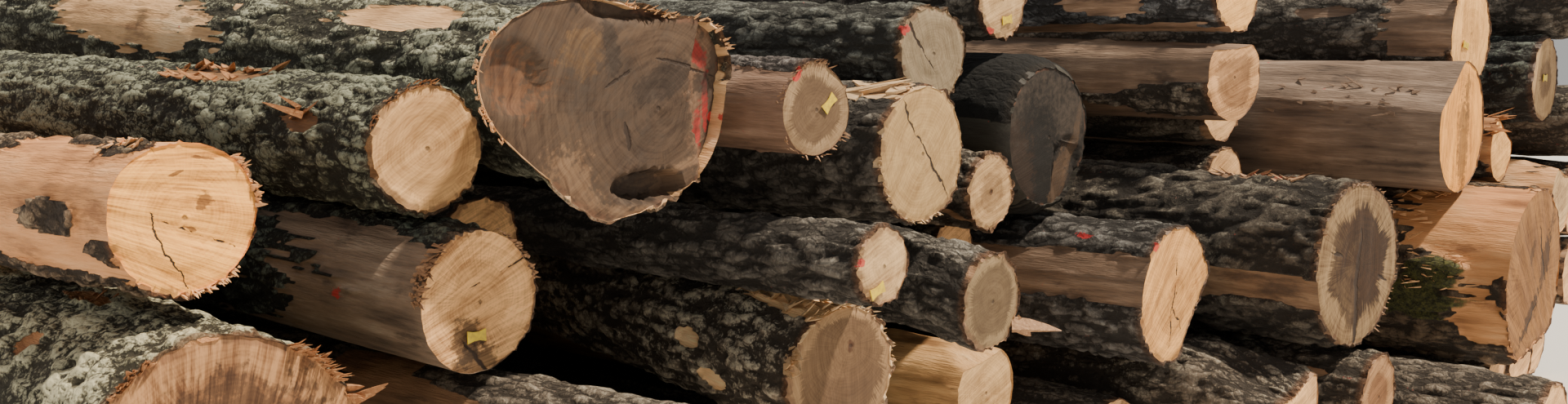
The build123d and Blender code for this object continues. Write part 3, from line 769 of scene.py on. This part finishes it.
# Sapwood and heartwood of the sawn ends
faceColours = {
    "brown": ((0.46, 0.27, 0.135), (0.23, 0.11, 0.05)),
    "yellow": ((0.98, 0.57, 0.2), (0.78, 0.44, 0.15)),
    "tan": ((0.8, 0.5, 0.245), (0.56, 0.33, 0.15)),
    # pale: the wood's own pale tone, darkened in part as painted shade for ends in shade
    "pale": ((0.54, 0.385, 0.215), (0.2, 0.128, 0.07)),
    "star": ((0.44, 0.315, 0.175), (0.066, 0.03, 0.01)),
    "cream": ((0.62, 0.43, 0.225), (0.32, 0.205, 0.105)),
    "weathered": ((0.12, 0.076, 0.046), (0.072, 0.047, 0.032)),
    # mud_and_shade: the mud's tone, darkened as painted shade
    "mud_and_shade": ((0.016, 0.012, 0.009), (0.011, 0.009, 0.007)),
}
# Stains and other spots of the sawn ends
blotColours = {
    # dark: also painted shade in the root flare's hollows
    "dark": (0.034, 0.023, 0.017),
    "olive": (0.215, 0.13, 0.06),
    "strip": (0.3, 0.185, 0.115),
    "muddy": (0.085, 0.048, 0.028),
    "orange": (0.24, 0.115, 0.055),
    "light": (0.3, 0.19, 0.11),
    "bark": (0.05, 0.034, 0.025),
    "knot": (0.12, 0.045, 0.02),
    "red": (0.3, 0.055, 0.025),
    "paint": (0.55, 0.025, 0.03),
}
# Dark and light tone
tornBark = (0.06, 0.03, 0.017), (0.26, 0.125, 0.06)
cutBark = (0.035, 0.018, 0.012), (0.2, 0.085, 0.045)
mossColours = (0.01, 0.012, 0.004), (0.15, 0.15, 0.028)
endShades = (0.46, 0.36, 0.29), (1.25, 1.22, 1.18)  # what the marks of a cut multiply its colour by
soilColour, crackColour = (0.07, 0.052, 0.04), (0.035, 0.02, 0.013)

# Noises: scale in waves per metre, detail, roughness, seed
sideNoise = {
    "fine": (70, 6, 0.75, 0), "grit": (210, 4, 0.75, 1), "broad": (5, 3, 0.5, 2), "streak": (35, 5, 0.62, 3),
    "hair": (240, 3, 0.6, 4), "stain": (13, 5, 0.7, 6), "shift": (26, 3, 0.6, 9),
}
endNoise = {
    "fine": (60, 4, 0.6, 1), "wobble": (9, 3, 0.55, 2), "broad": (4, 3, 0.5, 3),
    "marks": (1, 4, 0.7, 5), "coarse": (1, 3, 0.6, 6), "rays": (1, 4, 0.65, 7), "arcs": (1, 3, 0.6, 8),
}
streakNoise = (160, 4, 0.7, 3)  # of the splinters
# Waves along the saw marks and across them, or per radian round the pith and per metre away from it
endWaves = {"marks": (5.0, 170.0), "coarse": (3.0, 38.0), "rays": (26.0, 9.0), "arcs": (1.2, 75.0)}
ringWaves, starPoints = 950.0, 6.0  # radians per metre, points of a starred heart


# Colour, roughness and a bump whose height 1 is the distance in metres
def finishWood(start, shader, tone, rough, height, strength, distance):
    bump = start.make("Bump", None, {"Strength": strength, "Distance": distance, "Height": height})
    plugIn(shader, {"Base Color": tone, "Roughness": rough, "Normal": bump})


# Bark in three tones with crust on it, streaked wood where it is lost, and moss and paint over both
def sideMaterial(name, values, number):
    material, start, shader = startMaterial(name + "_side", (0.2, 0.15, 0.1))
    dark, middle, light, crust = barkColours[values["bark"]]
    grain, look = start.field("grain", "Vector"), start.field("look", "Color")
    moss = start.field("moss", "Fac")
    bark, paint, ridge = look.parts()
    upward = start.make("NewGeometry", None, None, "Normal").parts()[2]
    drawn = grain.stretch(1, 0.1, 1)
    fine, grit, broad = [grain.noise(sideNoise[key], number) for key in ("fine", "grit", "broad")]
    streak, hair = [drawn.noise(sideNoise[key], number) for key in ("streak", "hair")]
    shift = grain.noise(sideNoise["shift"], number, "Color").stretch(0.03, 0.03, 0.03)
    flakes = grain.stretch(1, 0.5, 1).shifted(shift).cells(values["scales"])
    gap = 1.0 - flakes.step(0.0, 0.16)
    level = ridge * 0.8 + (fine - 0.5) * 1.1 + (grit - 0.5) * 0.7 - gap * 0.26
    tone = level.step(0.10, 0.50).blend(dark, middle)
    tone = level.step(0.45, 0.90).blend(tone, light)
    spread = ridge * 0.30 + (fine - 0.5) * 1.3 + (grit - 0.5) * 0.9 + (broad - 0.5) * 0.7 + upward * 0.06
    crusted = (spread - gap * 0.16 + (values["lichen"] * 0.42 - 0.02)).step(0.33, 0.62)
    tone = (crusted * (0.4 + 0.55 * values["lichen"])).blend(tone, crust)

    # Bark is torn to a brown layer next to the cut
    ending = 1.0 - (grain.parts()[1] + (fine - 0.5) * 0.03).step(0.006, 0.028)
    tone = (ending * 0.85).blend(tone, fine.step(0.35, 0.65).blend(*tornBark))

    # Wood
    first, second, third = woodColours[values["wood"]]
    body = streak * 0.8 + broad * 0.5 - 0.15
    wood = body.step(0.25, 0.55).blend(first, second)
    wood = (body + hair * 0.25 - 0.1).step(0.5, 0.8).blend(wood, third)
    stain = grain.stretch(1, 0.35, 1).noise(sideNoise["stain"], number).step(0.54, 0.68)
    wood = (stain * 0.75).blend(wood, first)
    share = (bark + (fine - 0.5) * 0.7).step(0.42, 0.58)
    # The log's side tint; on some logs it is painted light, on others painted shade.
    tone = share.blend(wood, tone).tinted(values["sideTint"])

    # Moss and paint
    green = ((fine - 0.5) * 3.0 + (grit - 0.5) * 2.0 + 0.35).blend(*mossColours)
    tone = (moss + (fine - 0.5) * 0.6).step(0.35, 0.6).blend(tone, green)
    daub = (paint + (fine - 0.5) * 2.0 + (streak - 0.5) * 1.4).step(0.40, 0.55)
    tone = (daub * 0.85).blend(tone, blotColours["paint"])
    flaky = fine * 0.8 + grit * 0.4 + flakes.step(0.0, 0.30) * 0.45
    height = share.between(streak * 0.5 + hair * 0.25, flaky)
    finishWood(start, shader, tone, share.between(0.68, 0.93), height, 1.0, values["rough"])
    return material


# 1 on a crooked line between two places of the face, 0 away from it
def crackLine(x, z, wobble, line):
    fromX, fromZ, toX, toZ, width = line
    wayX, wayZ = toX - fromX, toZ - fromZ
    share = ((x - fromX) * wayX + (z - fromZ) * wayZ) * (1 / (wayX ** 2 + wayZ ** 2))
    share = share.math("MINIMUM", share.math("MAXIMUM", share, 0.0), 1.0)
    apartX = x - fromX - share * wayX + (wobble - 0.5) * 0.06
    apartZ = z - fromZ - share * wayZ + (wobble - 0.5) * 0.02
    thin = (share * (1.0 - share) * 4.0) ** 0.5 * width + 0.0004  # narrow at both ends
    return 1.0 - apartX.hypot(apartZ).step(thin * 0.4, thin)


# 0.75 inside a ragged turned oval, 0 outside
def blotShape(x, z, wobble, fine, marks, blot):
    middleX, middleZ, width, height, degrees = blot[:5]
    turn = math.radians(degrees)
    aside, above = x - middleX, z - middleZ
    run = (aside * math.cos(turn) + above * math.sin(turn)) * (1 / width)
    rise = (above * math.cos(turn) - aside * math.sin(turn)) * (1 / height)
    apart = run.hypot(rise) + (wobble - 0.5) * 2.2 + (fine - 0.5) * 2.4 + (marks - 0.5) * 1.0
    return (1.0 - apart.step(0.7, 1.2)) * 0.75


def splinterMaterial(kind):
    material, start, shader = startMaterial("splinters_" + kind, (0.6, 0.4, 0.2))
    first, second, third = woodColours[kind]
    place = start.make("TexCoord", None, None, "Object")
    streak = place.stretch(1, 0.15, 1).noise(streakNoise)
    tone = streak.step(0.25, 0.5).blend(first, second)
    tone = streak.step(0.5, 0.75).blend(tone, third)
    finishWood(start, shader, tone, 0.8, streak, 0.5, 0.002)
    return material


# Sapwood and heartwood with the saw's marks, rays, rings, stains, cracks, paint and the bark's section
def endMaterial(name, values, number):
    material, start, shader = startMaterial(name + "_end", (0.5, 0.35, 0.2))
    sap, heart = faceColours[values["face"]]
    grain, look = start.field("grain", "Vector"), start.field("look", "Color")
    edge = look.sibling("Alpha") * (1 / relief["distances"])
    bark, paint = look.parts()[:2]
    x, z = grain.parts()[::2]
    fine, wobble, broad = [grain.noise(endNoise[key], number) for key in ("fine", "wobble", "broad")]
    across, up = x - values["pith"][0], z - values["pith"][1]
    radius = across.hypot(up)
    angle = up.math("ARCTAN2", up, across)
    share = radius / (radius + edge + 0.001)

    # Marks of the saw fan out from one place
    fanX, fanZ = values["fan"]
    aside, above = x - fanX, z - fanZ
    reach = aside.hypot(above)
    over = above.math("ARCTAN2", above, aside) * math.hypot(fanX, fanZ) + (wobble - 0.5) * 0.006
    marks, coarse = [start.vector(reach * endWaves[key][0], over * endWaves[key][1], number).noise(
        endNoise[key], number) for key in ("marks", "coarse")]

    # Rays run out from the pith and rings run round it
    turned, outward = endWaves["rays"]
    rays = start.vector(angle * turned, radius * outward, 0.0).noise(endNoise["rays"], number)
    turned, outward = endWaves["arcs"]
    bent = (radius + (wobble - 0.5) * 0.05) * outward
    arcs = start.vector(bent, angle * turned, 0.0).noise(endNoise["arcs"], number)
    ringed = (radius + (wobble - 0.5) * 0.04 + (fine - 0.5) * 0.004) * ringWaves
    rings = ringed.math("SINE", ringed) * 0.5 + 0.5

    # Heartwood and stains, and blots that on some ends are painted shade in hollows
    if values["starred"]:
        points = angle * starPoints + wobble * 5.0
        share = share + points.math("SINE", points) * values["starred"]
    border = share + (wobble - 0.5) * 0.6 + (rays - 0.5) * 0.5
    inHeart = 1.0 - border.step(values["heart"] - 0.05, values["heart"] + 0.06)
    mottle = (broad - 0.5) * 1.5 + (rays - 0.5) * 1.2 + (wobble - 0.5) * 1.2
    tone = (inHeart * (mottle * values["mottled"] + 1.0) * values["heartDark"]).blend(sap, heart)
    for blot in values["blots"]:
        tone = blotShape(x, z, wobble, fine, marks, blot).blend(tone, blotColours[blot[5]])
    # The log's face tint; on some ends it is painted shade.
    tone = tone.tinted(values["faceTint"])

    # Light and dark of the marks, then soil
    shade = (marks - 0.5) * (1.3 * values["sawMarks"]) + (coarse - 0.5) * values["sawMarks"]
    shade = shade + (wobble - 0.5) * 0.6 + (rays - 0.5) * values["radial"] * 1.6
    shade = shade + (arcs - 0.5) * values["arcs"] + (rings - 0.5) * 0.08
    tone = (shade * 1.5 + 0.62).blend(*[tone.tinted(shadow) for shadow in endShades])
    soil = (broad * 0.7 + fine * 0.45).step(0.55, 0.75) * (0.7 * values["soil"])
    tone = soil.blend(tone, soilColour)

    # Bark seen in section, then cracks and paint
    depth = values["barkDepth"]
    rim = 1.0 - (edge + (fine - 0.5) * 0.012).step(0.55 * depth, 0.9 * depth + 0.002)
    tone = (rim * bark.step(0.3, 0.7)).blend(tone, fine.step(0.35, 0.65).blend(*cutBark))
    cracked = (1.0 - radius.step(0.002, 0.006)) * 0.6  # the pith
    for line in values["cracks"]:
        cracked = cracked.math("MAXIMUM", cracked, crackLine(x, z, wobble + (fine - 0.5) * 0.25, line))
    tone = cracked.blend(tone, crackColour)
    nearRim = 1.0 - edge.step(0.005, 0.02)
    daub = (paint * nearRim + (fine - 0.5) * 0.7).step(0.35, 0.5)
    tone = (daub * 0.8).blend(tone, blotColours["paint"])
    height = marks * 0.5 + coarse * 0.4 + fine * 0.25 + rays * 0.3 * values["radial"] - cracked * 2.0
    finishWood(start, shader, tone, 0.82, height, 0.7, 0.004)
    return material


slots = dict.fromkeys(("log_lichen_front_left", "log_mossy_left"), "lichen_bark_wood")  # slot names of two logs
hiddenValues = {**plainLook, **hiddenLook}
hiddenMaterials = sideMaterial("hidden", hiddenValues, 1), endMaterial("hidden", hiddenValues, 1)
splinterMaterials = {kind: splinterMaterial(kind) for kind in woodColours}
triangles = 0
for number, (name, look) in enumerate(looks.items()):
    values = {**plainLook, **look}
    log, stem = makeLog(name, values, number)
    materials = hiddenMaterials
    if name.startswith("log_"):
        materials = sideMaterial(name, values, number), endMaterial(name, values, number)
    for material in materials:
        log.data.materials.append(material)
    pieces = [log]
    if values["splinters"]:
        splinters = makeSplinters(name, stem, values, number)
        splinters.data.materials.append(splinterMaterials[values["wood"]])
        pieces.append(splinters)
    for piece in pieces:
        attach(piece, "root")
        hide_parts(name)
        triangles += len(piece.data.loops) - 2 * len(piece.data.polygons)
print("logs made,", triangles, "triangles")

# Number plates
plate = {"fresh": (0.80, 0.60, 0.03), "worn": (0.62, 0.42, 0.05), "wear": (120, 3, 0.5, 4), "rough": 0.45}


def plateMaterial(values):
    material, start, shader = startMaterial("yellow_plate", (0.9, 0.7, 0.05))
    place = start.make("TexCoord", None, None, "Object")
    worn = place.noise(values["wear"]).step(0.35, 0.7)
    plugIn(shader, {"Base Color": worn.blend(values["fresh"], values["worn"]), "Roughness": values["rough"]})
    return material


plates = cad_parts["number_tags"]
plates.data.materials.clear()
plates.data.materials.append(plateMaterial(plate))
print("plates coloured")

# Floor and light
studio = {
    "floor": 60.0,  # metres, each side
    "floorColour": (0.72, 0.71, 0.69),
    "floorRough": 0.9,
    "sky": 0.46,
    "skyColour": (1.0, 0.97, 0.93),
    "sun": 6.6,
    "sunColour": (1.0, 0.86, 0.68),
    "sunTurn": (30, 0, 38),  # degrees
    "sunSoftness": 3,  # degrees
}


def makeFloor(values):
    mesh = bpy.data.meshes.new("floor")
    half = values["floor"] / 2
    corners = [(-half, -half, 0), (half, -half, 0), (half, half, 0), (-half, half, 0)]
    mesh.from_pydata(corners, [], [(0, 1, 2, 3)])
    floor = linkObject("floor", mesh)
    material, _, shader = startMaterial("floor", (0.8, 0.8, 0.78))
    plugIn(shader, {"Base Color": opaque(values["floorColour"]), "Roughness": values["floorRough"]})
    mesh.materials.append(material)


def makeLight(values):
    world = bpy.data.worlds.new("studio")
    world.use_nodes = True
    background = world.node_tree.nodes["Background"]
    background.inputs["Color"].default_value = opaque(values["skyColour"])
    background.inputs["Strength"].default_value = values["sky"]
    bpy.context.scene.world = world
    sun = bpy.data.lights.new("sun", "SUN")
    sun.energy, sun.color = values["sun"], values["sunColour"]
    sun.angle = math.radians(values["sunSoftness"])
    lamp = linkObject("sun", sun)
    lamp.rotation_euler = [math.radians(turn) for turn in values["sunTurn"]]


makeFloor(studio)
makeLight(studio)
print("floor and light made")
